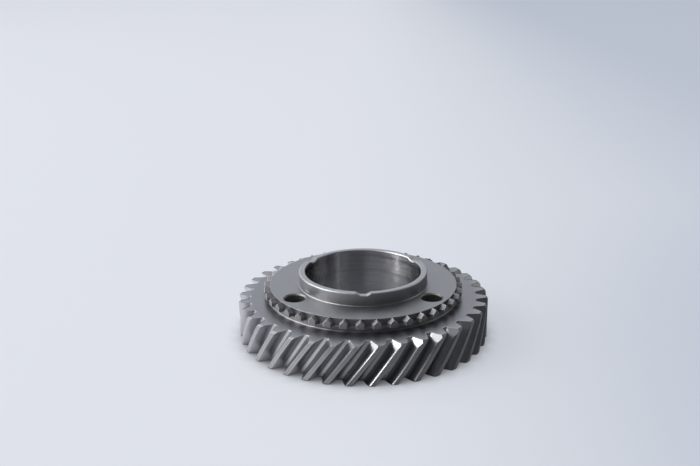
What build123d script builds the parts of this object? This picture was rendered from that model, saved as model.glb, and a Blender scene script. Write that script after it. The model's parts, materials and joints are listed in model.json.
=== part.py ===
"""Speed gear of a manual gearbox: helical teeth, dog ring and collar in one piece.

Frame: millimetres, +Z up along the shaft axis. The origin is the middle of the bore on the
back face, which is the face the gear stands on. One oil notch of the collar points to -Y.
"""
from build123d import *
from math import acos, atan, cos, degrees, pi, radians, sin, tan
import os

# ---- helical teeth ----------------------------------------------------------------------
teeth = 37
normal_module = 2.5
normal_pressure_angle = 20.0
helix_angle = 35.5                # right-hand: the teeth climb anticlockwise
profile_shift = -0.12             # share of the module
addendum = 1.0                    # share of the module
dedendum = 1.25                   # share of the module
face_width = 18.75
root_flat_height = 0.7            # of the flat between flank and root, above the root circle
root_flat_width = 0.5             # of the same flat, along the root circle
tip_chamfer = 0.35                # on both ends of every tooth
first_tooth_angle = -106.0        # middle of the first tooth on the back face
flank_chords = 3                  # chords of each involute flank, within 0.02 mm of it

# ---- long chamfer on the climbing flank, at the collar end of every tooth -----------------
end_chamfer_length = 3.0          # down the tooth, at its tip
end_chamfer_depth = 0.45          # into the tip land
end_chamfer_start = 0.5           # above the root circle
end_chamfer_room = 1.2            # thickness of the wedge that is cut away
end_chamfer_reach = 1.3           # how far past the tip the wedge goes, as a share

# ---- dog ring ---------------------------------------------------------------------------
dog_teeth = 40
dog_ridge_angle = -91.6           # one of the ridges
dog_tip_radius = 46.9
dog_root_radius = 44.2
dog_tip_width = 3.35
dog_root_width = 4.45
dog_roof_slope = 40.0             # of the two faces under each ridge
dog_height = 4.4                  # flange to ridge

# ---- flange below the dog ring ------------------------------------------------------------
flange_radius = 47.2
flange_thickness = 1.45
flange_chamfer = 0.2

# ---- collar and bore --------------------------------------------------------------------
bore_radius = 27.45
collar_radius = 30.35
collar_height = 6.1               # above the dog ring's plate
collar_edge = 0.35                # chamfer of the outer edge
collar_foot = 0.5                 # small cone that joins it to the plate
mouth_chamfer = 0.3               # bore mouth, radial
mouth_depth = 0.45                # bore mouth, axial
back_mouth_chamfer = 0.6

# ---- oil notches in the collar's rim ------------------------------------------------------
notches = 3
notch_angle = -90.0
notch_top_width = 6.8
notch_floor_width = 2.8
notch_depth = 1.05
notch_corner = 1.0                # rounding at the floor

# ---- lug holes through the plate ----------------------------------------------------------
lug_hole_angles = (-147.0, -33.0, 90.0)
lug_hole_centre_radius = 37.1
lug_hole_radius = 4.75
lug_hole_chamfer = 0.6

# ---- back face ----------------------------------------------------------------------------
web_recess_inner_radius = 31.45
web_recess_outer_radius = 47.0
web_recess_depth = 2.5
web_recess_corner = 1.2           # chamfered floor corners
web_recess_mouth = 0.5            # chamfered edges at the back face

# ---- modelling allowances -------------------------------------------------------------------
overlap = 1.0                     # how far joined shapes reach into each other
clear = 1.0                       # how far cutting shapes reach past the surface

# ---- derived sizes ------------------------------------------------------------------------
transverse_module = normal_module / cos(radians(helix_angle))
transverse_pressure = atan(tan(radians(normal_pressure_angle)) / cos(radians(helix_angle)))
pitch_radius = transverse_module * teeth / 2
base_radius = pitch_radius * cos(transverse_pressure)
tip_radius = pitch_radius + normal_module * (addendum + profile_shift)
root_radius = pitch_radius - normal_module * (dedendum - profile_shift)
pitch_thickness = (
    pi * transverse_module / 2
    + 2 * profile_shift * transverse_module * tan(radians(normal_pressure_angle))
)
twist = degrees(face_width * tan(radians(helix_angle)) / pitch_radius)
flange_top = face_width + flange_thickness
plate_top = flange_top + dog_height
overall_height = plate_top + collar_height


def involute(angle):
    return tan(angle) - angle


def half_tooth(radius):
    """Half the tooth's angle at a radius, in degrees: s / 2r + inv(a_t) - inv(a(r))."""
    pressure = acos(base_radius / radius)
    half = pitch_thickness / (2 * pitch_radius) + involute(transverse_pressure) - involute(pressure)
    return degrees(half)


def polar(radius, angle, height=0.0):
    return Vector(radius * cos(radians(angle)), radius * sin(radians(angle)), height)


# ---- one helical tooth: its transverse section, turned as it rises ------------------------------
flat_end_radius = root_radius + root_flat_height
flat_foot_radius = root_radius - root_flat_height
flat_end_half = half_tooth(flat_end_radius)
flat_foot_half = flat_end_half + 2 * degrees(root_flat_width / root_radius)
outer_radius = tip_radius + clear
flank_radii = [
    flat_end_radius + (outer_radius - flat_end_radius) * step / flank_chords
    for step in range(flank_chords + 1)
]
climbing_flank = [polar(r, -half_tooth(r)) for r in flank_radii]
trailing_flank = [polar(r, half_tooth(r)) for r in reversed(flank_radii)]
climbing_foot = polar(flat_foot_radius, -flat_foot_half)
trailing_foot = polar(flat_foot_radius, flat_foot_half)

with BuildSketch() as tooth_section:
    with BuildLine():
        Polyline(climbing_foot, *climbing_flank, *trailing_flank, trailing_foot, close=True)
    make_face()

tooth = Solid.extrude_linear_with_rotation(
    tooth_section.sketch.face(), (0, 0, 0), (0, 0, face_width), twist
)

# ---- wedge that cuts the long chamfer of the first tooth -------------------------------------
top_angle = first_tooth_angle + twist
start_radius = root_radius + end_chamfer_start
low_point = face_width - end_chamfer_length
low_angle = first_tooth_angle + twist * low_point / face_width - half_tooth(tip_radius)
top_edge_angle = top_angle - half_tooth(tip_radius) + degrees(end_chamfer_depth / tip_radius)
chamfer_start = polar(start_radius, top_angle - half_tooth(start_radius), face_width)
chamfer_low = polar(tip_radius, low_angle, low_point)
chamfer_top = polar(tip_radius, top_edge_angle, face_width)
wedge_plane = Plane(
    origin=chamfer_start,
    x_dir=chamfer_top - chamfer_start,
    z_dir=(chamfer_low - chamfer_start).cross(chamfer_top - chamfer_start),
)
wedge_top = wedge_plane.to_local_coords(chamfer_top) * end_chamfer_reach
wedge_low = wedge_plane.to_local_coords(chamfer_low) * end_chamfer_reach

with BuildPart() as wedge:
    with BuildSketch(wedge_plane):
        with BuildLine():
            Polyline((0, 0), (wedge_top.X, wedge_top.Y), (wedge_low.X, wedge_low.Y), close=True)
        make_face()
    extrude(amount=end_chamfer_room)

# ---- one dog tooth: a tapered block under a ridged roof --------------------------------------
dog_inner = dog_root_radius - overlap
dog_outer = dog_tip_radius + clear
dog_taper = (dog_root_width - dog_tip_width) / (dog_tip_radius - dog_root_radius) / 2
inner_half = dog_root_width / 2 + dog_taper * (dog_root_radius - dog_inner)
outer_half = dog_tip_width / 2 - dog_taper * (dog_outer - dog_tip_radius)
roof_half = inner_half + clear
roof_drop = roof_half * tan(radians(dog_roof_slope))

with BuildPart() as dog_tooth:
    with BuildSketch(Plane.XY.offset(face_width)):
        with BuildLine():
            Polyline(
                (dog_inner, -inner_half),
                (dog_outer, -outer_half),
                (dog_outer, outer_half),
                (dog_inner, inner_half),
                close=True,
            )
        make_face()
    extrude(amount=flange_thickness + dog_height)
    with BuildSketch(Plane.YZ.offset(dog_inner)):
        with BuildLine():
            Polyline(
                (0, plate_top),
                (roof_half, plate_top - roof_drop),
                (roof_half, 0),
                (-roof_half, 0),
                (-roof_half, plate_top - roof_drop),
                close=True,
            )
        make_face()
    extrude(amount=dog_outer - dog_inner, mode=Mode.INTERSECT)
    Cylinder(
        dog_tip_radius,
        overall_height,
        align=(Align.CENTER, Align.CENTER, Align.MIN),
        mode=Mode.INTERSECT,
    )

# ---- one oil notch, pointing to +X ------------------------------------------------------------
with BuildPart() as notch:
    with BuildSketch(Plane.YZ.offset(bore_radius / 2)) as notch_shape:
        with BuildLine():
            Polyline(
                (-notch_floor_width / 2, overall_height - notch_depth),
                (notch_floor_width / 2, overall_height - notch_depth),
                (notch_top_width / 2, overall_height),
                (notch_top_width / 2, overall_height + clear),
                (-notch_top_width / 2, overall_height + clear),
                (-notch_top_width / 2, overall_height),
                close=True,
            )
        make_face()
        fillet(notch_shape.vertices().group_by(Axis.Y)[0], notch_corner)
    extrude(amount=collar_radius)

# ---- toothed rim, its tips turned to size and chamfered at both ends -----------------------------
with BuildPart() as toothed_rim:
    Cylinder(root_radius, face_width, align=(Align.CENTER, Align.CENTER, Align.MIN))
    with PolarLocations(0, teeth, start_angle=first_tooth_angle):
        add(tooth)
    with BuildSketch(Plane.XZ):
        with BuildLine():
            Polyline(
                (0, 0),
                (tip_radius - tip_chamfer, 0),
                (tip_radius, tip_chamfer),
                (tip_radius, face_width - tip_chamfer),
                (tip_radius - tip_chamfer, face_width),
                (0, face_width),
                close=True,
            )
        make_face()
    revolve(axis=Axis.Z, mode=Mode.INTERSECT)

with BuildPart() as gear:
    add(toothed_rim.part)

    # flange, plate and collar, turned about the axis
    with BuildSketch(Plane.XZ) as turned:
        with BuildLine():
            Polyline(
                (bore_radius - overlap, overlap),
                (flange_radius, overlap),
                (flange_radius, flange_top),
                (dog_root_radius, flange_top),
                (dog_root_radius, plate_top),
                (collar_radius, plate_top),
                (collar_radius, overall_height),
                (bore_radius - overlap, overall_height),
                close=True,
            )
        make_face()
        chamfer(turned.vertices().sort_by_distance((flange_radius, flange_top))[0], flange_chamfer)
        chamfer(turned.vertices().sort_by_distance((collar_radius, plate_top))[0], collar_foot)
        chamfer(turned.vertices().sort_by_distance((collar_radius, overall_height))[0], collar_edge)
    revolve(axis=Axis.Z)

    with PolarLocations(0, dog_teeth, start_angle=dog_ridge_angle):
        add(dog_tooth.part)

    # bore with its two mouths
    with BuildSketch(Plane.XZ):
        with BuildLine():
            Polyline(
                (0, -clear),
                (bore_radius + back_mouth_chamfer + clear, -clear),
                (bore_radius, back_mouth_chamfer),
                (bore_radius, overall_height - mouth_depth),
                (bore_radius + mouth_chamfer, overall_height),
                (bore_radius + mouth_chamfer, overall_height + clear),
                (0, overall_height + clear),
                close=True,
            )
        make_face()
    revolve(axis=Axis.Z, mode=Mode.SUBTRACT)

    # ring-shaped recess in the back face
    with BuildSketch(Plane.XZ) as recess:
        with BuildLine():
            Polyline(
                (web_recess_inner_radius - web_recess_mouth - clear, -clear),
                (web_recess_outer_radius + web_recess_mouth + clear, -clear),
                (web_recess_outer_radius, web_recess_mouth),
                (web_recess_outer_radius, web_recess_depth),
                (web_recess_inner_radius, web_recess_depth),
                (web_recess_inner_radius, web_recess_mouth),
                close=True,
            )
        make_face()
        chamfer(recess.vertices().group_by(Axis.Y)[-1], web_recess_corner)
    revolve(axis=Axis.Z, mode=Mode.SUBTRACT)

    # lug holes through the plate
    with Locations(*[polar(lug_hole_centre_radius, angle, plate_top) for angle in lug_hole_angles]):
        CounterSinkHole(lug_hole_radius, lug_hole_radius + lug_hole_chamfer, counter_sink_angle=90)

    with PolarLocations(0, notches, start_angle=notch_angle):
        add(notch.part, mode=Mode.SUBTRACT)

    # long chamfers at the collar end of the climbing flanks
    with PolarLocations(0, teeth):
        add(wedge.part, mode=Mode.SUBTRACT)

gear.part.label = "speed_gear"
os.makedirs("parts", exist_ok=True)
export_step(gear.part, "parts/speed_gear.step")
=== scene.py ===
# %% [markdown]
# # A speed gear, dressed for its picture
#
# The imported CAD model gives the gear's place and main sizes. This file dresses it: it builds the
# visible surfaces again as fine numpy grids, because a loaded CAD mesh is made of a few long
# triangles, and the small roundings that catch the light on real ground steel are too fine for it.
# The whole file works in millimetres until a mesh is made, when it turns them into metres.

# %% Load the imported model
import json
from math import atan, cos, pi, radians, sin, tan

import bmesh
import bpy
import numpy as np
from mathutils import Matrix, Vector


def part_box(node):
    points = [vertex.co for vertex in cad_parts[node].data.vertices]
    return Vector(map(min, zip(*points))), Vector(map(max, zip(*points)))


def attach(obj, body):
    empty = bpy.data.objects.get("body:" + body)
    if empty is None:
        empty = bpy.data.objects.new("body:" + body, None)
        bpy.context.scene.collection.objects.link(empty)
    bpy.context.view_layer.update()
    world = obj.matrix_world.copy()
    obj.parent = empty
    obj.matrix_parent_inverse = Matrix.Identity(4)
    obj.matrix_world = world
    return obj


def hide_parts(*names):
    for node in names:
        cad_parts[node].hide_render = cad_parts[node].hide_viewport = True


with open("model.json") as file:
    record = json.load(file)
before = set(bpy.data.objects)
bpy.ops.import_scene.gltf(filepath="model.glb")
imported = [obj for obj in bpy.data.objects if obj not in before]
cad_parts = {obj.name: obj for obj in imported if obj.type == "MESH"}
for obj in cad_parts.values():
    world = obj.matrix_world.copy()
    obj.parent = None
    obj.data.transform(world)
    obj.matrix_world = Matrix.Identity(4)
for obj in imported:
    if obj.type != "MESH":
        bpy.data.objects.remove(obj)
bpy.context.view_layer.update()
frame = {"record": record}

record = frame["record"]
MM = 1000.0

# %% [markdown]
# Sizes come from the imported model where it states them: the outer box gives the tip radius and the
# overall height, and the mounts give the bore and the lug holes. The rest are the gear's own tooth
# data. A right-hand helix means that a tooth climbs anticlockwise when the gear is seen from above.

# %% Main sizes, in millimetres
tip_radius, _, overall_height = np.array(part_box("speed_gear")[1]) * MM
TEETH = 37
FACE_WIDTH = 18.75
NORMAL_MODULE = 2.5
NORMAL_PRESSURE = radians(20.0)
HELIX = radians(35.5)
PROFILE_SHIFT, DEDENDUM = -0.12, 1.25      # shares of the module
FIRST_TOOTH = radians(-106.0)              # middle of the first tooth on the back face

transverse_module = NORMAL_MODULE / cos(HELIX)
pressure = atan(tan(NORMAL_PRESSURE) / cos(HELIX))
pitch_radius = transverse_module * TEETH / 2
base_radius = pitch_radius * cos(pressure)
root_radius = pitch_radius - NORMAL_MODULE * (DEDENDUM - PROFILE_SHIFT)
pitch_thickness = transverse_module * (pi / 2 + 2 * PROFILE_SHIFT * tan(NORMAL_PRESSURE))
twist = FACE_WIDTH * tan(HELIX) / pitch_radius
pitch_angle = 2 * pi / TEETH
mounts = {mount["name"]: mount for mount in record["mounts"]}
bore_radius = mounts["bore"]["dims"]["r_mm"]
print(f"tip {tip_radius:.2f}, root {root_radius:.2f}, bore {bore_radius:.2f}")
print(f"overall height {overall_height:.2f}, teeth turn {twist:.3f} rad over the face")

# %% [markdown]
# Every surface below is a grid of points: columns run anticlockwise round the axis, rows run along
# the section so that the metal stays on the left. With that order every face points outwards. A
# ring closes on itself both ways, so it has no seam and no pole.

# %% Meshes from grids
SMOOTH_ANGLE = radians(32.0)      # edges that turn by more than this stay sharp
MERGE_DISTANCE = 1e-7             # metres


def grid_faces(rows, columns, close_rows=True):
    """Four corners of each cell of a rows x columns grid whose columns close into a ring."""
    row = np.arange(rows if close_rows else rows - 1)[:, None]
    column = np.arange(columns)[None, :]
    next_row, next_column = (row + 1) % rows, (column + 1) % columns
    corners = [row * columns + column, row * columns + next_column,
               next_row * columns + next_column, next_row * columns + column]
    corners = [np.broadcast_to(corner, (len(row), columns)) for corner in corners]
    return np.stack(corners, axis=-1).reshape(-1, 4)


def make_piece(name, points, faces, regions, finishes, edge=None, poles=False):
    """A mesh object from points in millimetres; regions gives each face the number of its finish.

    edge gives each point how much its tone is raised, from 0 to 1: the polish of handling and a
    painted highlight. With poles, rows that are drawn together into one place become one point, which
    closes the mesh.
    """
    mesh = bpy.data.meshes.new(name)
    points = np.asarray(points, float).reshape(-1, 3) / MM
    mesh.vertices.add(len(points))
    mesh.vertices.foreach_set("co", points.ravel())
    mesh.loops.add(faces.size)
    mesh.loops.foreach_set("vertex_index", faces.ravel().astype(np.int32))
    mesh.polygons.add(len(faces))
    mesh.polygons.foreach_set("loop_start", np.arange(len(faces), dtype=np.int32) * faces.shape[1])
    for finish in finishes:
        mesh.materials.append(finish)
    mesh.polygons.foreach_set("material_index", np.asarray(regions, np.int32))
    mesh.update(calc_edges=True)
    if edge is not None:
        wear_and_highlight_level = mesh.attributes.new("edge", "FLOAT", "POINT")
        wear_and_highlight_level.data.foreach_set("value", np.asarray(edge, np.float32).ravel())
    if poles:
        shape = bmesh.new()
        shape.from_mesh(mesh)
        bmesh.ops.remove_doubles(shape, verts=shape.verts, dist=MERGE_DISTANCE)
        shape.to_mesh(mesh)
        shape.free()
    mesh.shade_smooth()
    mesh.set_sharp_from_angle(angle=SMOOTH_ANGLE)
    piece = bpy.data.objects.new(name, mesh)
    bpy.context.scene.collection.objects.link(piece)
    print(f"{name}: {len(mesh.vertices)} points, {len(mesh.polygons)} faces")
    return piece


# %% [markdown]
# No edge of a real part is perfectly sharp. A Bevel modifier could round the edges, but where a piece
# is a section carried round an axis it is simpler to round the corners of the section itself.

# %% Rounded sections
GUARD_SHARE = 0.3      # the most of a side's straight length that lies before its guard point


def rounded(corners, steps=4, guard=0.12):
    """A closed (r, z) section with its corners rounded.

    corners are (r, z, rounding, region): the region is that of the side that leaves the corner. Each
    corner becomes an arc that touches both sides: it starts rounding * tan(turn / 2) before the
    corner. A guard point on each side of it keeps the flat sides flat when the surface is shaded
    smoothly. Returns points, regions and edge weights.
    """
    points, regions, edge = [], [], []
    table = [np.array(corner[:2], float) for corner in corners]
    for i, (r, z, rounding, region) in enumerate(corners):
        here, before, after = table[i], table[i - 1], table[(i + 1) % len(table)]
        if rounding == 0:
            points, regions, edge = points + [here], regions + [region], edge + [0.0]
            continue
        into, out = here - before, after - here
        long_in, long_out = np.linalg.norm(into), np.linalg.norm(out)
        into, out = into / long_in, out / long_out
        turn = np.arctan2(into[0] * out[1] - into[1] * out[0], into @ out)
        setback = rounding * tan(abs(turn) / 2)
        start, angle = here - into * setback, np.linspace(0.0, turn, steps + 1)
        left = np.array([-into[1], into[0]]) * np.sign(turn)
        swing = left * np.cos(angle)[:, None] - into * np.sin(np.abs(angle))[:, None]
        arc = start + left * rounding - rounding * swing
        lead = min(guard, GUARD_SHARE * max(long_in - setback, 0.0))
        tail = min(guard, GUARD_SHARE * max(long_out - setback, 0.0))
        points += [start - into * lead, *arc, here + out * (setback + tail)]
        previous = corners[i - 1][3]
        half = (steps + 1) // 2
        regions += [previous] * (1 + half) + [region] * (steps + 2 - half)
        edge += [0.0] + [1.0] * (steps + 1) + [0.0]
    return np.array(points), np.array(regions), np.array(edge)


# %% [markdown]
# The teeth are cut to an involute: the curve that the end of a taut string draws as it unwinds from
# a circle. The tip's trailing edge and the root have their own small roundings, and the climbing
# flank bends back a little at its tip, as ground teeth do. These functions find each curve, and
# where it touches the next one, so that the whole outline runs on without a kink.

# %% Curves of a tooth
FLANK_SAMPLES = 4000             # points of the flank among which the end of a rounding is looked for


def involute(angle):
    """Polar angle of an involute at the pressure angle given: tan a - a."""
    return np.tan(angle) - angle


def half_tooth(radius):
    """Half of a tooth's angle at a radius: half the pitch thickness, less what the involute turns."""
    return (pitch_thickness / (2 * pitch_radius) + involute(pressure)
            - involute(np.arccos(base_radius / radius)))


def corner_arc(side, level, rounding, outside, count):
    """Arc of a rounding between a flank and a circle of radius level, found on the flank's parallel.

    side is +1 for the flank at the larger angle. outside is True at the root, where the arc lies in
    the gap, and False at the tip, where it lies in the metal. Runs from the circle to the flank.
    """
    radius = np.linspace(root_radius, tip_radius, FLANK_SAMPLES)
    angle = side * half_tooth(radius)
    flank = np.stack([radius * np.cos(angle), radius * np.sin(angle)], axis=1)
    along = np.gradient(flank, axis=0)
    normal = np.stack([along[:, 1], -along[:, 0]], axis=1) / np.linalg.norm(along, axis=1)[:, None]
    points_to_gap = side * normal[0, 1] > 0
    parallel = flank + normal * (rounding if points_to_gap == outside else -rounding)
    reach = level + rounding if outside else level - rounding
    nearest = np.argmin(np.abs(np.hypot(*parallel.T) - reach))
    centre, touch = parallel[nearest], flank[nearest]
    on_circle = centre / np.linalg.norm(centre) * level
    first, last = (np.arctan2(*(p - centre)[::-1]) for p in (on_circle, touch))
    sweep = (last - first + pi) % (2 * pi) - pi
    turn = first + sweep * np.linspace(0, 1, count)
    return centre + rounding * np.stack([np.cos(turn), np.sin(turn)], axis=1)


def polar_of(points):
    """Radius and angle of each point."""
    return np.hypot(points[:, 0], points[:, 1]), np.arctan2(points[:, 1], points[:, 0])


def arc_points(radius, angles):
    """Points at a radius, or at one radius each, and at the angles given."""
    return np.stack([radius * np.cos(angles), radius * np.sin(angles)], axis=1)


def tip_relief(bend, rounding, count):
    """Tip of the climbing flank: an arc that leaves the flank smoothly and bends by the angle given.

    The arc of that radius turns from the flank's own direction towards the land. Of all the places
    where it could leave the flank, the one is taken whose arc ends on the tip circle.
    """
    deepest, highest, tries, step = 1.6, 0.2, 600, 1e-4
    start = np.linspace(tip_radius - deepest, tip_radius - highest, tries)
    point = arc_points(start, -half_tooth(start))
    ahead = arc_points(start + step, -half_tooth(start + step))
    along = (ahead - point) / np.linalg.norm(ahead - point, axis=1)[:, None]
    inward = np.stack([-along[:, 1], along[:, 0]], axis=1)
    end = point + rounding * (sin(bend) * along + (1 - cos(bend)) * inward)
    best = np.argmin(np.abs(np.hypot(*end.T) - tip_radius))
    turn = np.linspace(0, bend, count)[:, None]
    return point[best] + rounding * (np.sin(turn) * along[best] + (1 - np.cos(turn)) * inward[best])


def flank_points(side, low, high, count):
    """Points of an involute flank between two radii, both ends left out."""
    radius = np.linspace(low, high, count + 2)[1:-1]
    return arc_points(radius, side * half_tooth(radius))


# %% [markdown]
# The section is put together from those curves, from gap to gap. Each stretch names the finish of the
# faces that follow it and how much its points are brightened: the tips' edges are the parts that
# handling and other gears touch first, and they carry a painted highlight as well, so they are brighter.

# %% One tooth's section
TIP_EDGE = 0.14                  # rounding of the trailing tip edge
RELIEF_BEND = radians(24.0)      # how far the climbing flank bends back at its tip
RELIEF_ROUNDING = 2.8
ROOT_FILLET = 0.98
LAND_LINE = 0.06                 # width of the brightened line along the land's climbing edge: polish and a painted highlight
FLANK, LAND, END_FACE, ROOT = range(4)

tip_corner = corner_arc(+1, tip_radius, TIP_EDGE, False, 4)          # land -> flank
root_corner = corner_arc(+1, root_radius, ROOT_FILLET, True, 6)      # root -> flank
root_corner_low = root_corner * [1, -1]
relief = tip_relief(RELIEF_BEND, RELIEF_ROUNDING, 5)                 # climbing flank -> land
root_flank, tip_flank = np.hypot(*root_corner[-1]), np.hypot(*tip_corner[-1])
root_start = np.arctan2(root_corner[0, 1], root_corner[0, 0])
land_low = np.arctan2(relief[-1, 1], relief[-1, 0])
land_high = np.arctan2(tip_corner[0, 1], tip_corner[0, 0])
root_middle = 0.5 * (root_start + pitch_angle / 2)
stretches = [      # points, finish of the faces that follow, brightening: polish and painted highlight
    (arc_points(root_radius, np.array([-root_middle])), ROOT, 0.0),
    (root_corner_low[:-1], ROOT, 0.0),
    (root_corner_low[-1:], FLANK, 0.0),
    (flank_points(-1, root_flank, np.hypot(*relief[0]), 11), FLANK, 0.0),
    (relief[:-1], FLANK, 0.0),
    (arc_points(tip_radius, land_low + np.array([0.0, LAND_LINE / tip_radius])), LAND, 0.5),
    (arc_points(tip_radius, np.linspace(land_low, land_high, 5)[1:-1]), LAND, 0.0),
    (tip_corner[:-1], LAND, 0.7),
    (tip_corner[-1:], FLANK, 0.3),
    (flank_points(+1, root_flank, tip_flank, 10)[::-1], FLANK, 0.0),
    (root_corner[::-1], ROOT, 0.0),
    (arc_points(root_radius, np.array([root_middle, pitch_angle / 2])), ROOT, 0.0),
]
section = np.concatenate([points for points, _, _ in stretches])
section_region = np.concatenate([np.full(len(points), region) for points, region, _ in stretches])
section_edge = np.concatenate([np.full(len(points), wear_and_highlight_level) for points, _, wear_and_highlight_level in stretches])
print(f"{len(section)} points a tooth, flank from {root_flank:.2f} to {tip_flank:.2f}")

# %% [markdown]
# A gear maker adds a long slanting bevel at the upper end of each climbing flank, which lets the gear
# slide into mesh. It is flat, so it is part of a plane, and every point of the tooth that would lie
# beyond that plane is turned about the axis until it lies on it. A Boolean cut would do the same, but
# would leave long thin triangles that shade badly.

# %% Long bevel of a tooth
BEVEL_LENGTH, BEVEL_DEPTH = 3.0, 0.45      # down the tooth at its tip, and into the tip's land
BEVEL_START = 0.3                          # above the root circle
BEVEL_SPAN = 0.6                           # share of the pitch, each side of a tooth, that it may reach
BEVEL_TURN = 0.08                          # the most that a point is turned, in radians


def at(radius, angle, height):
    """A point from its radius, angle and height."""
    return np.array([radius * cos(angle), radius * sin(angle), height])


def bevel_plane():
    """Plane of the long bevel of the tooth at angle 0, as its unit normal and its distance.

    It goes through a point near the root, a low point of the tip and a high one; its normal is the
    cross product of two of its sides.
    """
    start_radius = root_radius + BEVEL_START
    low_height = FACE_WIDTH - BEVEL_LENGTH
    start = at(start_radius, twist - half_tooth(start_radius), FACE_WIDTH)
    low = at(tip_radius, twist * low_height / FACE_WIDTH - half_tooth(tip_radius), low_height)
    top = at(tip_radius, twist - half_tooth(tip_radius) + BEVEL_DEPTH / tip_radius, FACE_WIDTH)
    normal = np.cross(low - start, top - start)
    normal /= np.linalg.norm(normal)
    return normal, normal @ start


plane_normal, plane_distance = bevel_plane()


def onto_bevel(radius, angle, height, slack=0.0):
    """Angles after every point beyond the bevel's plane is turned about the axis onto it.

    On the plane n . p = d the angle is that of n plus or minus acos((d - nz z) / (r |nxy|)).
    """
    flat = np.hypot(plane_normal[0], plane_normal[1])
    lean = np.arctan2(plane_normal[1], plane_normal[0])
    reach = np.clip((plane_distance - slack - plane_normal[2] * height) / (radius * flat), -1, 1)
    on_plane = (lean + np.arccos(reach) + pi) % (2 * pi) - pi
    beyond = (plane_normal[0] * radius * np.cos(angle) + plane_normal[1] * radius * np.sin(angle)
              + plane_normal[2] * height) > plane_distance - slack
    near = (on_plane > angle) & (on_plane - angle < BEVEL_TURN)
    near &= np.abs(angle - twist) < BEVEL_SPAN * pitch_angle
    near &= radius > root_radius + BEVEL_START
    return np.where(beyond & near, on_plane, angle)


print(f"bevel plane: normal {plane_normal.round(3)}, {plane_distance:.2f} mm from the middle")

# %% [markdown]
# The toothed rim is the tooth's section carried up the helix: each row is the whole section at one
# height. The tips have a bevel at both ends, larger at the top, and the flanks meet the end faces in
# a small rounding. Below the long bevel the rows bend to run along its lower edge, so that edge comes
# out straight instead of in steps.

# %% Rows of the rim
LOW_BEVEL = 0.35                         # bevel of the tips at the lower end, at 45 degrees
TIP_BEVEL, TIP_BEVEL_IN = 0.75, 0.9      # height of the tips' upper bevel, and how far it goes in
END_EDGE = 0.14                          # rounding where the flanks meet the end faces
FAN_FOOT = FACE_WIDTH - BEVEL_LENGTH - 0.6      # height from which the rows bend to the long bevel
CREASE_ROOM = 0.15                       # from the long bevel's lower edge to the tips' bevel, at least
CREASE_SAMPLES = 900


def rotation(angle):
    """Matrix that turns row vectors anticlockwise by the angle."""
    return np.array([[cos(angle), sin(angle)], [-sin(angle), cos(angle)]])


def section_inset(depth):
    """The section moved into the metal by depth, at right angles to itself, as radius and angle."""
    before, after = section[-1:] @ rotation(-pitch_angle), section[:1] @ rotation(pitch_angle)
    ring = np.concatenate([before, section, after])
    along = ring[2:] - ring[:-2]
    inward = np.stack([-along[:, 1], along[:, 0]], axis=1) / np.linalg.norm(along, axis=1)[:, None]
    return polar_of(section + inward * depth)


def crossing_height(radius, angle):
    """Height at which each column of the unbevelled flank meets the bevel's plane."""
    height = np.linspace(FAN_FOOT, FACE_WIDTH, CREASE_SAMPLES)[:, None]
    turned = angle[None] + twist * height / FACE_WIDTH
    moved = onto_bevel(radius[None], turned, height) > turned + 1e-9
    first = np.argmax(moved, axis=0)
    return np.where(moved.any(axis=0), height[first, 0], FACE_WIDTH)


bevel_foot, high_end = FACE_WIDTH - TIP_BEVEL, FACE_WIDTH - END_EDGE
crease = np.minimum(crossing_height(*section_inset(0.0)), bevel_foot - CREASE_ROOM)
level = np.ones(len(section))
end_rows = [(END_EDGE * (1 - sin(a)), END_EDGE * (1 - cos(a))) for a in np.linspace(0, pi / 2, 4)]
rows = [(level * z, inset) for z, inset in end_rows]
rows += [(level * z, 0.0) for z in (LOW_BEVEL, 0.8, *np.linspace(2.0, FAN_FOOT - 0.4, 10))]
rows += [(FAN_FOOT + (crease - FAN_FOOT) * t, 0.0) for t in (0.0, 0.5, 0.85, 0.97, 1.0)]
rows += [(crease + (bevel_foot - crease) * t, 0.0) for t in (0.1, 0.5, 1.0)]
rows += [(level * (bevel_foot + (high_end - bevel_foot) * t), 0.0) for t in (0.08, 0.9, 1.0)]
rows += [(level * (FACE_WIDTH - z), inset) for z, inset in end_rows[-2::-1]]

outer = []
for height, inset in rows:
    radius, angle = section_inset(inset)
    bevel = np.clip(height - bevel_foot, 0, None) * TIP_BEVEL_IN / TIP_BEVEL
    bevel = np.maximum(bevel, np.clip(LOW_BEVEL - height, 0, None))
    radius = np.minimum(radius, tip_radius - bevel - inset)
    turned = onto_bevel(radius, angle + twist * height / FACE_WIDTH, height, inset)
    outer.append(np.stack([radius, turned, height], axis=1))
outer = np.array(outer)
lower, upper = outer[0], outer[-1]
print(f"rim: {len(outer)} rows up the teeth, long bevels from {crease.min():.2f} mm up")

# %% [markdown]
# Two flat faces and an inner wall close the rim, so that it is a solid ring and not a skin. The inner
# wall is narrow where the hub goes in and wide at the recess in the back, and its columns follow the
# helix, so that one grid can take in the whole ring.

# %% Toothed rim
RIM_INNER, RIM_SEAT = 47.0, 44.5      # inside radius at the back's recess, and where the hub goes in
web_radii = [0.985 * root_radius, 52.0, 50.0, RIM_INNER + 0.8]


def strip(radius, share):
    """A row inside the rim: at a radius, and at a share of the way from the lower face to the upper."""
    angle = upper[:, 1] * share + lower[:, 1] * (1 - share)
    return np.stack([level * radius, angle, level * (FACE_WIDTH * share)], axis=1)


face_rows = [strip(radius, 1.0) for radius in [*web_radii, RIM_SEAT + 1.0]]
seat_rows = [strip(RIM_SEAT, share) for share in (1.0, 0.6, 0.21)]
recess_rows = [strip(RIM_INNER, share) for share in (0.12, 0.0267)]
back_rows = [strip(radius, 0.0) for radius in [RIM_INNER + 0.5, *web_radii[::-1]]]
ring = np.concatenate([outer, face_rows, seat_rows, recess_rows, back_rows])

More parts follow.
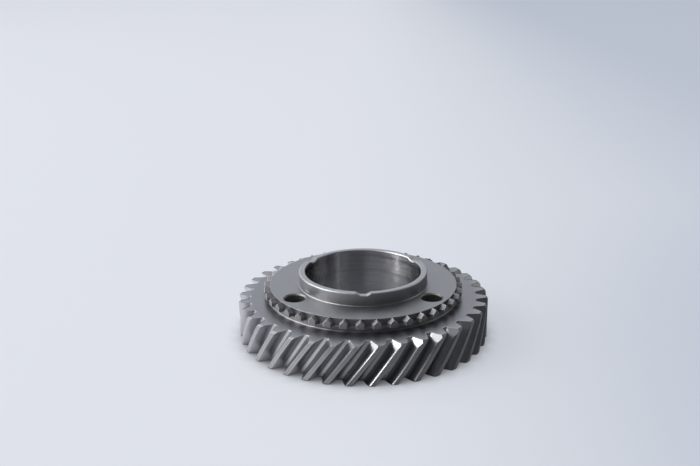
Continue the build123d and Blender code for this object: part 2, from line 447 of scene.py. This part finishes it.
tooth_turn = FIRST_TOOTH + pitch_angle * np.arange(TEETH)
turned = ring[:, None, :, 1] + tooth_turn[None, :, None]
radius = np.broadcast_to(ring[:, None, :, 0], turned.shape)
height = np.broadcast_to(ring[:, None, :, 2], turned.shape)
rim_points = np.stack([radius * np.cos(turned), radius * np.sin(turned), height], axis=-1)
rim_rows, rim_columns = len(ring), TEETH * len(section)
rim_points = rim_points.reshape(rim_rows, rim_columns, 3)
region_rows = np.tile(section_region, (rim_rows, TEETH))
last = len(outer) - 1
region_rows[last:] = END_FACE
edge_weight = np.tile(section_edge, (rim_rows, TEETH))
edge_weight[last + 1:] = 0
# the end roundings are brightened in full: polish and a painted highlight
edge_weight[[0, 1, 2, last - 2, last - 1, last]] = 1.0
print(f"rim: {rim_rows} rows x {rim_columns} columns")

# %% [markdown]
# The core is everything that a lathe turns: the hub under the dog ring, the plate, the collar, the
# bore and the recess in the back. It is one section carried round the axis, and the hub's foot
# spreads a little where it meets the rim's face. A Screw modifier could turn the section too, but
# the grid lets the columns lie closer together where the oil notches come.

# %% Section of the core
DOG_ROOT, DOG_TIP = 44.2, 46.9
HUB_RADIUS, HUB_TOP = 44.9, 20.9
PLATE_TOP = 24.6
COLLAR_RADIUS, COLLAR_EDGE, COLLAR_FOOT = 30.35, 0.35, 0.3
MOUTH, MOUTH_DEPTH, BACK_MOUTH = 0.3, 0.45, 0.6      # bevels of the bore at the collar and at the back
RECESS_INNER, RECESS_DEPTH = 31.45, 2.5
RECESS_MOUTH, RECESS_CORNER = 0.5, 1.2               # bevels of the recess at its mouth and its floor
NOTCH_ZONE, NOTCH_FULL = 2.6, 0.6      # below the rim: where the notches start to tell, and tell fully
# the ledge and the walls between the dogs form a region with a dark tone: painted shade
TURNED, BORE, WALL, RIM_TOP, HUB, PAINTED_SHADE_GAP, DRILLED = range(7)

core_section, core_region, core_edge = rounded([
    (RIM_INNER + 0.2, 1.0, 0.02, HUB),
    (RIM_INNER + 0.2, 2.5, 0.02, HUB),
    (HUB_RADIUS, 4.5, 0.02, HUB),
    (HUB_RADIUS, FACE_WIDTH - 1.0, 0.02, HUB),
    (HUB_RADIUS + 0.35, FACE_WIDTH - 0.1, 0.04, HUB),
    (HUB_RADIUS, FACE_WIDTH + 0.35, 0.12, HUB),
    (HUB_RADIUS, HUB_TOP, 0.12, PAINTED_SHADE_GAP),
    (DOG_ROOT, HUB_TOP, 0.25, PAINTED_SHADE_GAP),
    (DOG_ROOT, PLATE_TOP, 0.12, TURNED),
    (COLLAR_RADIUS + COLLAR_FOOT, PLATE_TOP, 0.12, TURNED),
    (COLLAR_RADIUS, PLATE_TOP + COLLAR_FOOT, 0.12, WALL),
    (COLLAR_RADIUS, overall_height - NOTCH_ZONE, 0.0, WALL),
    (COLLAR_RADIUS, overall_height - NOTCH_FULL, 0.0, WALL),
    (COLLAR_RADIUS, overall_height - COLLAR_EDGE, 0.12, RIM_TOP),
    (COLLAR_RADIUS - COLLAR_EDGE, overall_height, 0.12, RIM_TOP),
    (bore_radius + MOUTH, overall_height, 0.08, RIM_TOP),
    (bore_radius, overall_height - MOUTH_DEPTH, 0.1, BORE),
    (bore_radius, overall_height - NOTCH_FULL, 0.0, BORE),
    (bore_radius, overall_height - NOTCH_ZONE, 0.0, BORE),
    (bore_radius, BACK_MOUTH, 0.08, TURNED),
    (bore_radius + BACK_MOUTH, 0.0, 0.08, TURNED),
    (RECESS_INNER - RECESS_MOUTH, 0.0, 0.08, TURNED),
    (RECESS_INNER, RECESS_MOUTH, 0.08, TURNED),
    (RECESS_INNER, RECESS_DEPTH - RECESS_CORNER, 0.2, TURNED),
    (RECESS_INNER + RECESS_CORNER, RECESS_DEPTH, 0.3, TURNED),
    (RIM_INNER - RECESS_CORNER, RECESS_DEPTH, 0.3, TURNED),
    (RIM_INNER + 0.1, RECESS_CORNER, 0.02, TURNED),
])
print(f"core section: {len(core_section)} points")

# %% [markdown]
# The three oil notches in the collar's rim are pressed into the same grid, which has closer columns
# there: a point of the rim that stands above the notch's outline is lowered onto it. That keeps the
# bevels of the rim running through the notch, as a cutter that follows the edge would leave them.

# %% Turned core with its notches
NOTCH_ANGLES = np.radians([-90.0, 30.0, 150.0])
NOTCH_TOP, NOTCH_FLOOR = 3.4, 1.4      # half widths
NOTCH_DEPTH, NOTCH_SOFTNESS = 1.05, 0.16
column_step, notch_step, notch_reach = radians(1.0), radians(0.2), radians(8.0)
columns = np.arange(-180, 180) * column_step
close = (np.arange(-40, 41) * notch_step)[None] + NOTCH_ANGLES[:, None]
away = np.abs((columns[:, None] - NOTCH_ANGLES[None] + pi) % (2 * pi) - pi).min(axis=1)
columns = np.concatenate([columns[away > notch_reach + 1e-6], close.ravel()])
columns = np.unique(np.round(columns, 9))


def notch_drop(radius, angle):
    """How far the collar's rim sinks: the full depth in the middle, straight slopes, then nothing.

    The distance from the notch's centre line is r sin(angle). Soft limits round the floor's corners
    and leave the upper ones crisp.
    """
    away = (angle[..., None] - NOTCH_ANGLES + pi) % (2 * pi) - pi
    nearest = np.take_along_axis(away, np.abs(away).argmin(-1)[..., None], -1)[..., 0]
    across = np.abs(radius * np.sin(nearest))
    rise = (across - NOTCH_FLOOR) * NOTCH_DEPTH / (NOTCH_TOP - NOTCH_FLOOR)
    rise = 0.5 * (rise + np.sqrt(rise ** 2 + NOTCH_SOFTNESS ** 2))
    return np.where(np.abs(nearest) < notch_reach, np.clip(NOTCH_DEPTH - rise, 0.0, None), 0.0)


angle = np.broadcast_to(columns[None], (len(core_section), len(columns)))
radius = np.broadcast_to(core_section[:, :1], angle.shape)
height = np.broadcast_to(core_section[:, 1:], angle.shape)
sinks = np.clip((height - (overall_height - NOTCH_ZONE)) / (NOTCH_ZONE - NOTCH_FULL), 0, 1)
height = height - sinks * notch_drop(radius, angle)
core_points = np.stack([radius * np.cos(angle), radius * np.sin(angle), height], axis=-1)
core_regions = np.broadcast_to(core_region[:, None], angle.shape)
core_edges = np.broadcast_to(core_edge[:, None], angle.shape)
print(f"core: {angle.shape[0]} rows x {angle.shape[1]} columns")

# %% [markdown]
# The dog teeth lock the gear to its sleeve. Each is a block under a pointed roof whose ridge starts
# level with the plate and falls a little towards the tip, where the tooth is narrower. Its curved
# outer face hangs over the hub. An Array modifier could repeat one tooth, but the small roundings
# need their own points, so one tooth is a grid: rows run outwards along the gear's radius and
# columns go round the house-shaped section.

# %% Section of a dog tooth
DOGS, DOG_RIDGE = 40, radians(-91.6)      # how many, and where one of the ridges points
DOG_SLOPE = tan(radians(43.0))
DOG_TIP_HALF, DOG_ROOT_HALF = 3.35 / 2, 4.45 / 2      # half widths
DOG_EDGE = 0.09        # rounding of the edges
DOG_FALL = 0.3         # how much lower the ridge is at the tip
DOG_SEAT = 0.05        # how far the underside lies below the hub's top
DOG_SUNK = 1.0         # how far the tooth reaches into the core
DOG_HEART = 22.5       # height of the point that the end faces are drawn together to


def house(half_width, floor, ridge, inset):
    """Section of a dog tooth as (across, height, edge), with every side moved inwards by inset."""
    side, base = half_width - inset, floor + inset
    peak = ridge - inset / cos(atan(DOG_SLOPE))
    eave = peak - side * DOG_SLOPE
    outline = [(-side, base), (side, base), (side, eave), (0.0, peak), (-side, eave)]
    points, _, edge = rounded([(*corner, DOG_EDGE, 0) for corner in outline], steps=3, guard=0.1)
    return np.column_stack([points, edge])


def dog_section(radius, inset):
    """Section at a radius: it narrows evenly from root to tip, and its ridge falls by DOG_FALL."""
    share = (radius - DOG_ROOT) / (DOG_TIP - DOG_ROOT)
    half_width = DOG_ROOT_HALF + (DOG_TIP_HALF - DOG_ROOT_HALF) * share
    return house(half_width, HUB_TOP - DOG_SEAT, PLATE_TOP - DOG_FALL * max(share, 0.0), inset)


# %% [markdown]
# The rows stand at stations along the radius: a few along the body, then a quarter circle of them
# that rounds the outer face's edge. The last rows draw the section together to close that face, and
# the first does the same inside the core. The same grid is then turned to 40 places.

# %% Dog teeth
guard_station = DOG_TIP - DOG_EDGE - 0.1
stations = [(r, 0.0) for r in (DOG_ROOT - DOG_SUNK, DOG_ROOT, DOG_TIP - 1.2, guard_station)]
stations += [(DOG_TIP - DOG_EDGE * (1 - sin(a)), DOG_EDGE * (1 - cos(a)))
             for a in np.linspace(0, pi / 2, 4)]
dog_rows = [np.insert(dog_section(r, inset), 0, r, axis=1) for r, inset in stations]
# the rounding of the outer face is brightened in full: polish and a painted highlight
for row, (r, _) in zip(dog_rows, stations):
    row[:, 3] = np.maximum(row[:, 3], r > guard_station)
dog_middle = np.array([0.0, DOG_HEART])
end_section = dog_rows[-1][:, 1:3]
for scale in (0.92, 0.4, 0.0):
    face = dog_middle + (end_section - dog_middle) * scale
    dog_rows.append(np.column_stack([np.full(len(face), DOG_TIP), face, np.zeros(len(face))]))
dog_rows.insert(0, np.tile([DOG_ROOT - DOG_SUNK, *dog_middle, 0.0], (len(end_section), 1)))
dog = np.array(dog_rows)
across = dog[..., 1]
outward = np.sqrt(dog[..., 0] ** 2 - across ** 2)      # so that a station is a circle about the axis
spot = (DOG_RIDGE + np.arange(DOGS) * 2 * pi / DOGS)[:, None, None]
dog_points = np.stack([outward * np.cos(spot) - across * np.sin(spot),
                       outward * np.sin(spot) + across * np.cos(spot),
                       np.broadcast_to(dog[..., 2], (DOGS, *across.shape))], axis=-1)
dog_edges = np.broadcast_to(dog[..., 3], (DOGS, *across.shape))
dog_cells = grid_faces(*across.shape, close_rows=False)
dog_faces = (dog_cells[None] + (np.arange(DOGS) * across.size)[:, None, None]).reshape(-1, 4)
print(f"dog tooth: {dog.shape[0]} rows x {dog.shape[1]} columns")

# %% [markdown]
# A finish is a small network of shader nodes. Writing one node at a time hides the idea, so this small
# class wraps a node's output and lets ordinary arithmetic add the Math nodes. Anything else comes from
# one method that takes a node's type, its settings and what goes into its sockets.

# %% Node arithmetic
class Wire:
    """An output socket of a node; sums, products and so on of wires and numbers are Math nodes."""

    def __init__(self, sheet, socket):
        self.sheet, self.socket = sheet, socket

    def __add__(self, other):
        return self.sheet.math("ADD", self, other)

    def __sub__(self, other):
        return self.sheet.math("SUBTRACT", self, other)

    def __rsub__(self, other):
        return self.sheet.math("SUBTRACT", other, self)

    def __mul__(self, other):
        return self.sheet.math("MULTIPLY", self, other)

    def __truediv__(self, other):
        return self.sheet.math("DIVIDE", self, other)

    def __pow__(self, other):
        return self.sheet.math("POWER", self, other)

    __radd__, __rmul__ = __add__, __mul__


class Sheet:
    """The node tree of a material or of the world."""

    def __init__(self, tree):
        self.tree = tree
        tree.nodes.clear()

    def put(self, socket, value):
        """Links a wire to a socket, or sets the socket to a number, colour or vector."""
        if isinstance(value, Wire):
            self.tree.links.new(value.socket, socket)
        else:
            socket.default_value = value

    def node(self, kind, settings=None, **inputs):
        """A node of that type: its settings first, then its sockets by name or, as s0, s1, by number."""
        made = self.tree.nodes.new(kind)
        for name, value in (settings or {}).items():
            setattr(made, name, value)
        for name, value in inputs.items():
            key = int(name[1:]) if name[0] == "s" and name[1:].isdigit() else name.replace("_", " ")
            self.put(made.inputs[key], value)
        return made

    def out(self, made, name=0):
        """An output of a node, by name or number, as a wire."""
        return Wire(self, made.outputs[name])

    def math(self, operation, first, second):
        return self.out(self.node("ShaderNodeMath", {"operation": operation}, s0=first, s1=second))

    def ease(self, value, low, high, start=0.0, end=1.0):
        """A value carried smoothly from start to end as it goes from low to high."""
        made = self.node("ShaderNodeMapRange", {"interpolation_type": "SMOOTHSTEP"}, s0=value, s1=low,
                         s2=high, s3=start, s4=end)
        return self.out(made)

    def vector(self, operation, first, second=(0.0, 0.0, 0.0)):
        return self.out(self.node("ShaderNodeVectorMath", {"operation": operation}, s0=first, s1=second))

    def dot(self, first, second):
        """How far two unit vectors point the same way: the cosine of the angle between them."""
        made = self.node("ShaderNodeVectorMath", {"operation": "DOT_PRODUCT"}, s0=first, s1=second)
        return self.out(made, "Value")

    def scale(self, colour, factor):
        made = self.node("ShaderNodeVectorMath", {"operation": "SCALE"}, s0=colour, Scale=factor)
        return self.out(made)

    def surface(self, kind, shader):
        """Ends the tree in an output node of that kind."""
        self.put(self.node(kind).inputs["Surface"], shader)

    def colour_mix(self, factor, first, second):
        made = self.node("ShaderNodeMix", {"data_type": "RGBA"}, s0=factor, s6=first, s7=second)
        return self.out(made, 2)

# %% [markdown]
# All finishes are the same steel, and differ in how it was cut: turned faces have fine rings about the
# axis, ground flanks have a fine smooth grain, the hardened skin of the tips is coarser, and the bore
# is honed until it mirrors. The grain is noise on Object coordinates, so it is fixed to the metal. The
# edge attribute marks the small roundings, whose tone is raised: partly the polish of handling, partly
# a painted highlight.

# %% Steel
GROOVES = 16000.0      # turning grooves per metre
GROOVE_CLIMB = 1.37    # how much faster the grooves follow one another up a wall than along a face
PATCHES = 160.0        # patches of tone per metre


def steel(name, colour, roughness, grain, grain_depth, groove_tilt=0.0, mottle=0.12, wear_and_highlight_gain=0.25):
    """A steel finish. grain is in lumps per metre and its depth in metres; groove_tilt is a slope.

    Turning leaves grooves round the axis, finer than can be seen, whose slopes point along the
    section: outwards on a flat face, up and down on a wall. They are laid on the normal itself, as
    n + tilt * (noise of r + z) * (outward + up), because a bump that fine would fade with distance.
    """
    material = bpy.data.materials.new(name)
    material.use_nodes = True
    sheet = Sheet(material.node_tree)
    place = sheet.out(sheet.node("ShaderNodeTexCoord"), "Object")
    fine = sheet.out(sheet.node("ShaderNodeTexNoise", None, Vector=place, Scale=grain, Detail=3.0,
                                Roughness=0.6), "Fac")
    patches = sheet.out(sheet.node("ShaderNodeTexNoise", None, Vector=place, Scale=PATCHES, Detail=4.0,
                                   Roughness=0.65), "Fac")
    normal = sheet.out(sheet.node("ShaderNodeNewGeometry"), "Normal")
    if groove_tilt:
        split = sheet.node("ShaderNodeSeparateXYZ", None, Vector=place)
        x, y, z = (sheet.out(split, axis) for axis in "XYZ")
        radius = (x * x + y * y) ** 0.5
        lines = sheet.node("ShaderNodeTexNoise", {"noise_dimensions": "1D"}, Scale=1.0, Detail=2.0,
                           Roughness=0.7, W=(radius + z * GROOVE_CLIMB) * GROOVES)
        tilt = (sheet.out(lines, "Fac") - 0.5) * groove_tilt
        along = sheet.node("ShaderNodeCombineXYZ", None, X=x / radius * tilt, Y=y / radius * tilt, Z=tilt)
        normal = sheet.vector("NORMALIZE", sheet.vector("ADD", normal, sheet.out(along)))
    wear_and_highlight = sheet.out(sheet.node("ShaderNodeAttribute", {"attribute_name": "edge"}), "Fac")
    # the edge term raises the tone at the roundings: partly polish from handling, partly a painted
    # highlight
    shade = 1.0 + (patches - 0.5) * (2.4 * mottle) + (fine - 0.5) * (2.0 * mottle) + wear_and_highlight * wear_and_highlight_gain
    tint = sheet.scale(colour, shade)
    rough = roughness + (patches - 0.5) * (0.35 * roughness) - wear_and_highlight * (0.25 * roughness)
    bump = sheet.node("ShaderNodeBump", None, Strength=1.0, Distance=1.0, Height=fine * grain_depth,
                      Normal=normal)
    metal = sheet.node("ShaderNodeBsdfPrincipled", None, Base_Color=tint, Metallic=1.0,
                       Roughness=rough, Normal=sheet.out(bump))
    sheet.surface("ShaderNodeOutputMaterial", sheet.out(metal))
    material.diffuse_color = (*colour, 1.0)
    return material


# %% [markdown]
# Each finish names its tone, its roughness, its grain and the grain's depth. The turned ones add the
# tilt of their grooves. The bore's grooves tilt most of all, which draws its reflections into long
# upright streaks. The gaps between the dogs get a dark tone, which is painted shade: it stands in for
# the shade that falls between the dogs, and their rounded edges carry a strong painted highlight.

# %% Steel finishes
turned_face = steel("turned_face_steel", (0.34, 0.34, 0.355), 0.42, 2400.0, 1.5e-6, groove_tilt=0.06)
rim_face = steel("rim_face_steel", (0.30, 0.30, 0.315), 0.36, 2400.0, 0.3e-6, groove_tilt=0.03)
collar_wall = steel("collar_wall_steel", (0.34, 0.335, 0.34), 0.46, 2400.0, 1.5e-6, groove_tilt=0.1)
collar_rim = steel("collar_rim_steel", (0.47, 0.47, 0.49), 0.46, 2400.0, 1.5e-6, groove_tilt=0.05)
hub_wall = steel("hub_wall_steel", (0.31, 0.305, 0.315), 0.50, 2400.0, 2.0e-6, groove_tilt=0.05)
bore_honed = steel("honed_bore_steel", (0.42, 0.415, 0.43), 0.10, 3000.0, 0.5e-6, groove_tilt=2.6,
                   mottle=0.04)
ground_flank = steel("ground_flank_steel", (0.38, 0.375, 0.39), 0.30, 2600.0, 0.4e-6, mottle=0.06)
tooth_root = steel("tooth_root_steel", (0.46, 0.455, 0.47), 0.42, 2600.0, 1.0e-6, mottle=0.08)
tip_land = steel("hardened_tip_steel", (0.36, 0.355, 0.365), 0.60, 2200.0, 1.0e-5, mottle=0.25)
# the dogs' rounded edges are brightened strongly: polish and a painted highlight
dog_steel = steel("dog_tooth_steel", (0.36, 0.355, 0.365), 0.66, 2400.0, 4.0e-6, mottle=0.16,
                  wear_and_highlight_gain=0.6)
# painted shade: the dark tone of the gaps between the dogs stands in for their shade; the large gain
# paints a highlight on their rounded edges
painted_shade_dog_gap = steel("dog_gap_steel", (0.19, 0.185, 0.19), 0.50, 2400.0, 2.0e-6, wear_and_highlight_gain=0.9)
drilled = steel("drilled_hole_steel", (0.30, 0.30, 0.29), 0.5, 2400.0, 4.0e-6)
print("finishes:", ", ".join(sorted(material.name for material in bpy.data.materials)))

# %% [markdown]
# The grids now become meshes. The gear is one piece of steel, and three meshes stand for it, because
# each has its own rows and columns: the rim, the core, which sits inside it with hidden joints, and
# the dogs, which reach into the core.

# %% Rim, core and dog teeth as pieces
core_finishes = [turned_face, bore_honed, collar_wall, collar_rim, hub_wall, painted_shade_dog_gap, drilled]
rim = make_piece("toothed_rim", rim_points, grid_faces(rim_rows, rim_columns), region_rows.ravel(),
                 [ground_flank, tip_land, rim_face, tooth_root], edge_weight)
core = make_piece("turned_core", core_points, grid_faces(*angle.shape), core_regions.ravel(),
                  core_finishes, core_edges)
dog_teeth = make_piece("dog_teeth", dog_points, dog_faces, np.zeros(len(dog_faces)), [dog_steel],
                       dog_edges, poles=True)

# %% [markdown]
# The lug holes cross the plate between the dog ring and the collar. They don't fit the ring grid, so
# they are cut with a Boolean, which is exact on closed meshes. The cutter is a grid as well: a round
# rod that widens at the plate into a 45-degree bevel.

# %% Lug holes
LUG_RADIUS, LUG_BEVEL = mounts["lug_hole_left"]["dims"]["r_mm"], 0.6
PAST = 2.0             # how far the cutter reaches past both faces
lug_spots = [np.array(mounts[name]["pos_m"][:2]) * MM for name in mounts if name.startswith("lug_hole")]
rod = np.array([(0.0, -PAST), (LUG_RADIUS, -PAST), (LUG_RADIUS, PLATE_TOP - LUG_BEVEL),
                (LUG_RADIUS + LUG_BEVEL + PAST, PLATE_TOP + PAST), (0.0, PLATE_TOP + PAST)])
around = np.linspace(0, 2 * pi, 96, endpoint=False)
cutter_faces = grid_faces(len(rod), len(around), close_rows=False)
for number, (x, y) in enumerate(lug_spots):
    shape = np.stack([x + rod[:, :1] * np.cos(around), y + rod[:, :1] * np.sin(around),
                      np.broadcast_to(rod[:, 1:], (len(rod), len(around)))], axis=-1)
    cutter = make_piece(f"lug_cutter_{number}", shape, cutter_faces, np.full(len(cutter_faces), DRILLED),
                        core_finishes, poles=True)
    cut = core.modifiers.new("lug hole", "BOOLEAN")
    cut.operation, cut.solver, cut.object = "DIFFERENCE", "EXACT", cutter
    graph = bpy.context.evaluated_depsgraph_get()
    shaped = bpy.data.meshes.new_from_object(core.evaluated_get(graph))
    core.modifiers.clear()
    old = core.data
    core.data = shaped
    bpy.data.meshes.remove(old)
    bpy.data.objects.remove(cutter)
core.data.set_sharp_from_angle(angle=SMOOTH_ANGLE)
print(f"core after the lug holes: {len(core.data.polygons)} faces")

# %% [markdown]
# The imported model has one body and no joint, so every piece rides on that body. Each stands in the
# solid's place, so the plain solid is no longer shown.

# %% Hang the pieces on the frame
for piece in (rim, core, dog_teeth):
    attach(piece, "root")
    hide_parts("speed_gear")
print("pieces on the frame:", ", ".join(piece.name for piece in (rim, core, dog_teeth)))

# %% [markdown]
# A pale seamless floor, as on a product table. It is matt paper, large enough to fill the frame. Its
# tone is painted darker to the right, as painted shade for the light that is weaker on that side. Part
# of its light is given out evenly, to the camera and to reflections, as a backlit sheet would: that
# keeps the background even and the shadow soft. The glow that the steel mirrors is painted brighter on
# the lit side, behind and to the left, and dimmer in front of it: painted light in its reflections.

# %% Floor
FLOOR_SPAN = 6.0
# painted shade: the right tone is darker, as less light falls on that side
PAPER_LEFT, SHADED_PAPER_RIGHT = (0.684, 0.704, 0.752, 1.0), (0.48, 0.52, 0.60, 1.0)
FLOOR_GLOW = 0.81      # share of the floor's brightness that it gives out itself
FLOOR_MATT = 0.34      # and how much of its tone is left for the matt paper
floor_mesh = bpy.data.meshes.new("studio_floor")
corners = [(x * FLOOR_SPAN, y * FLOOR_SPAN, 0.0) for x, y in ((-1, -1), (1, -1), (1, 1), (-1, 1))]
floor_mesh.from_pydata(corners, [], [(0, 1, 2, 3)])
floor = bpy.data.objects.new("studio_floor", floor_mesh)
bpy.context.scene.collection.objects.link(floor)
print(f"floor: {2 * FLOOR_SPAN:.0f} m square")

# %% [markdown]
# Its tone is mixed by place, on Object coordinates, in metres from the gear's axis. Every ease below
# reads: from this value to that one, the result goes from this to that. The painted shade to the right
# comes sooner in front of the gear than behind it. A soft line of shade lies where the gear stands on
# the paper, and the paper inside the bore is dark, since the gear keeps the light from it.

# %% Paper
PAINTED_SHADE_FALL = (-0.05, 0.45)                   # from the left tone to the darker right one, in metres: painted shade
FRONT_FALL = (-0.15, 0.25, 2.2, 1.0)         # in front of the gear to behind it: times faster
LIT_SIDE = (-0.995, 0.1, 0.0)
MIRRORED = (-0.1, 0.6, 0.35, 2.0)            # away from the lit side to towards it: seen in the steel
INSIDE = (0.045, 0.06, 0.3, 1.0)             # inside the gear to outside it: share of the glow
CONTACT_REACH = 0.008
paper = bpy.data.materials.new("pale_paper")
paper.use_nodes = True
sheet = Sheet(paper.node_tree)
place = sheet.out(sheet.node("ShaderNodeTexCoord"), "Object")
split = sheet.node("ShaderNodeSeparateXYZ", None, Vector=place)
rightward = sheet.out(split, "X") * sheet.ease(sheet.out(split, "Y"), *FRONT_FALL)
# painted shade: the paper darkens to the right, and sooner in front of the gear
tone = sheet.colour_mix(sheet.ease(rightward, *PAINTED_SHADE_FALL), PAPER_LEFT, SHADED_PAPER_RIGHT)
# painted light: the glow that reflections see is raised on the lit side and lowered in front
mirrored = sheet.ease(sheet.dot(sheet.vector("NORMALIZE", place), LIT_SIDE), *MIRRORED)
light_path = sheet.node("ShaderNodeLightPath")
seen = sheet.out(light_path, "Is Camera Ray") + sheet.out(light_path, "Is Glossy Ray") * mirrored
contact = sheet.node("ShaderNodeAmbientOcclusion", {"samples": 12}, Distance=CONTACT_REACH)
from_axis = sheet.node("ShaderNodeVectorMath", {"operation": "LENGTH"}, s0=place)
shade = sheet.out(contact, "AO") * sheet.ease(sheet.out(from_axis, "Value"), *INSIDE)
matt = sheet.node("ShaderNodeBsdfPrincipled", None, Base_Color=sheet.scale(tone, FLOOR_MATT),
                  Roughness=0.9, Specular_IOR_Level=0.1)
glow = sheet.node("ShaderNodeEmission", None, Color=tone, Strength=seen * shade * FLOOR_GLOW)
both = sheet.node("ShaderNodeAddShader", None, s0=sheet.out(matt), s1=sheet.out(glow))
sheet.surface("ShaderNodeOutputMaterial", sheet.out(both))
floor_mesh.materials.append(paper)
print("paper: glow", FLOOR_GLOW, "matt", FLOOR_MATT)

# %% [markdown]
# The world stands for the studio's walls. The camera sees it in the floor's own pale tone. The steel
# sees it bright behind and to the left, and dark towards the front and the right: polished metal has
# no shade of its own, and its contrast is that of the room.

# %% World
WALL_TONE = (0.96, 1.0, 1.07, 1.0)
WALLS = (0.15, 0.85, 0.08, 0.80)      # away from the bright side to towards it: strength


def toward(azimuth, elevation):
    """Unit vector to a compass direction: azimuth anticlockwise from +X, elevation up, in degrees."""
    a, e = radians(azimuth), radians(elevation)
    return Vector((cos(a) * cos(e), sin(a) * cos(e), sin(e)))


world = bpy.data.worlds.new("studio")
bpy.context.scene.world = world
world.use_nodes = True
sheet = Sheet(world.node_tree)
direction = sheet.out(sheet.node("ShaderNodeTexCoord"), "Generated")
walls = sheet.ease(sheet.dot(direction, toward(130, 35)), *WALLS)
seen = sheet.out(sheet.node("ShaderNodeLightPath"), "Is Camera Ray")
tone = sheet.colour_mix(seen, WALL_TONE, PAPER_LEFT)
shine = sheet.node("ShaderNodeBackground", None, Color=tone, Strength=walls * (1.0 - seen) + seen)
sheet.surface("ShaderNodeOutputWorld", sheet.out(shine))
print(f"world: walls from {WALLS[2]} to {WALLS[3]}")

# %% [markdown]
# One large softbox on the left does most of the work: the long bevels and the tips of the front
# teeth mirror it as white, and it draws the bright streaks in the bore. Its front end is higher. A
# tall narrow one beside it gives the streaks their bright core, a faint one further to the front
# lights the edges, and a weak one at the far right keeps that side from going black. Area lamps are
# used, since a rectangle is what steel mirrors in a studio.

# %% Softboxes
LAMP_DISTANCE = 2.5      # metres


def softbox(name, direction, size, radiance, roll=0.0):
    """A rectangular lamp that faces the gear from a direction. Its power is radiance * pi * area."""
    data = bpy.data.lights.new(name, "AREA")
    data.shape, data.size, data.size_y = "RECTANGLE", *size
    data.energy = radiance * pi * size[0] * size[1]
    lamp = bpy.data.objects.new(name, data)
    bpy.context.scene.collection.objects.link(lamp)
    facing = (-direction).to_track_quat("-Z", "Y").to_matrix().to_4x4()
    spot = Matrix.Translation(direction * LAMP_DISTANCE)
    lamp.matrix_world = spot @ facing @ Matrix.Rotation(roll, 4, "Z")


softbox("key_softbox", toward(175, 30), (1.9, 1.3), 2.5, roll=radians(-14))
softbox("strip_softbox", toward(195, 32), (0.4, 2.0), 7.0)
softbox("edge_softbox", toward(214, 38), (0.5, 1.6), 1.6)
softbox("far_fill", toward(12, 27), (1.6, 0.8), 0.75)

# %% [markdown]
# The camera looks down at the gear from the front, from 44 cm away, with the slight turn and tilt of
# a hand-held one. Its place and angles are set as numbers, and its axes are worked out from them: the
# way it looks, its right and its top, which are the columns of its rotation.

# %% Camera
CAMERA_PLACE = (0.0, -0.3982, 0.1817)
YAW, PITCH, ROLL = -0.0150, 0.3219, -0.0099      # radians
scene = bpy.context.scene
camera_data = bpy.data.cameras.new("camera")
camera_data.lens, camera_data.sensor_width = 46.21, 36.0
camera_data.clip_start, camera_data.clip_end = 0.01, 50.0
camera = bpy.data.objects.new("camera", camera_data)
scene.collection.objects.link(camera)
forward = Vector((sin(YAW) * cos(PITCH), cos(YAW) * cos(PITCH), -sin(PITCH)))
right = Vector((cos(YAW), -sin(YAW), 0.0))
up = right.cross(forward)
right, up = cos(ROLL) * right + sin(ROLL) * up, -sin(ROLL) * right + cos(ROLL) * up
axes = Matrix((right, up, -forward)).transposed().to_4x4()
camera.matrix_world = Matrix.Translation(CAMERA_PLACE) @ axes
scene.camera = camera
scene.view_settings.view_transform = "Standard"
print(f"camera {tuple(round(v, 4) for v in camera.location)} m, lens {camera_data.lens} mm")
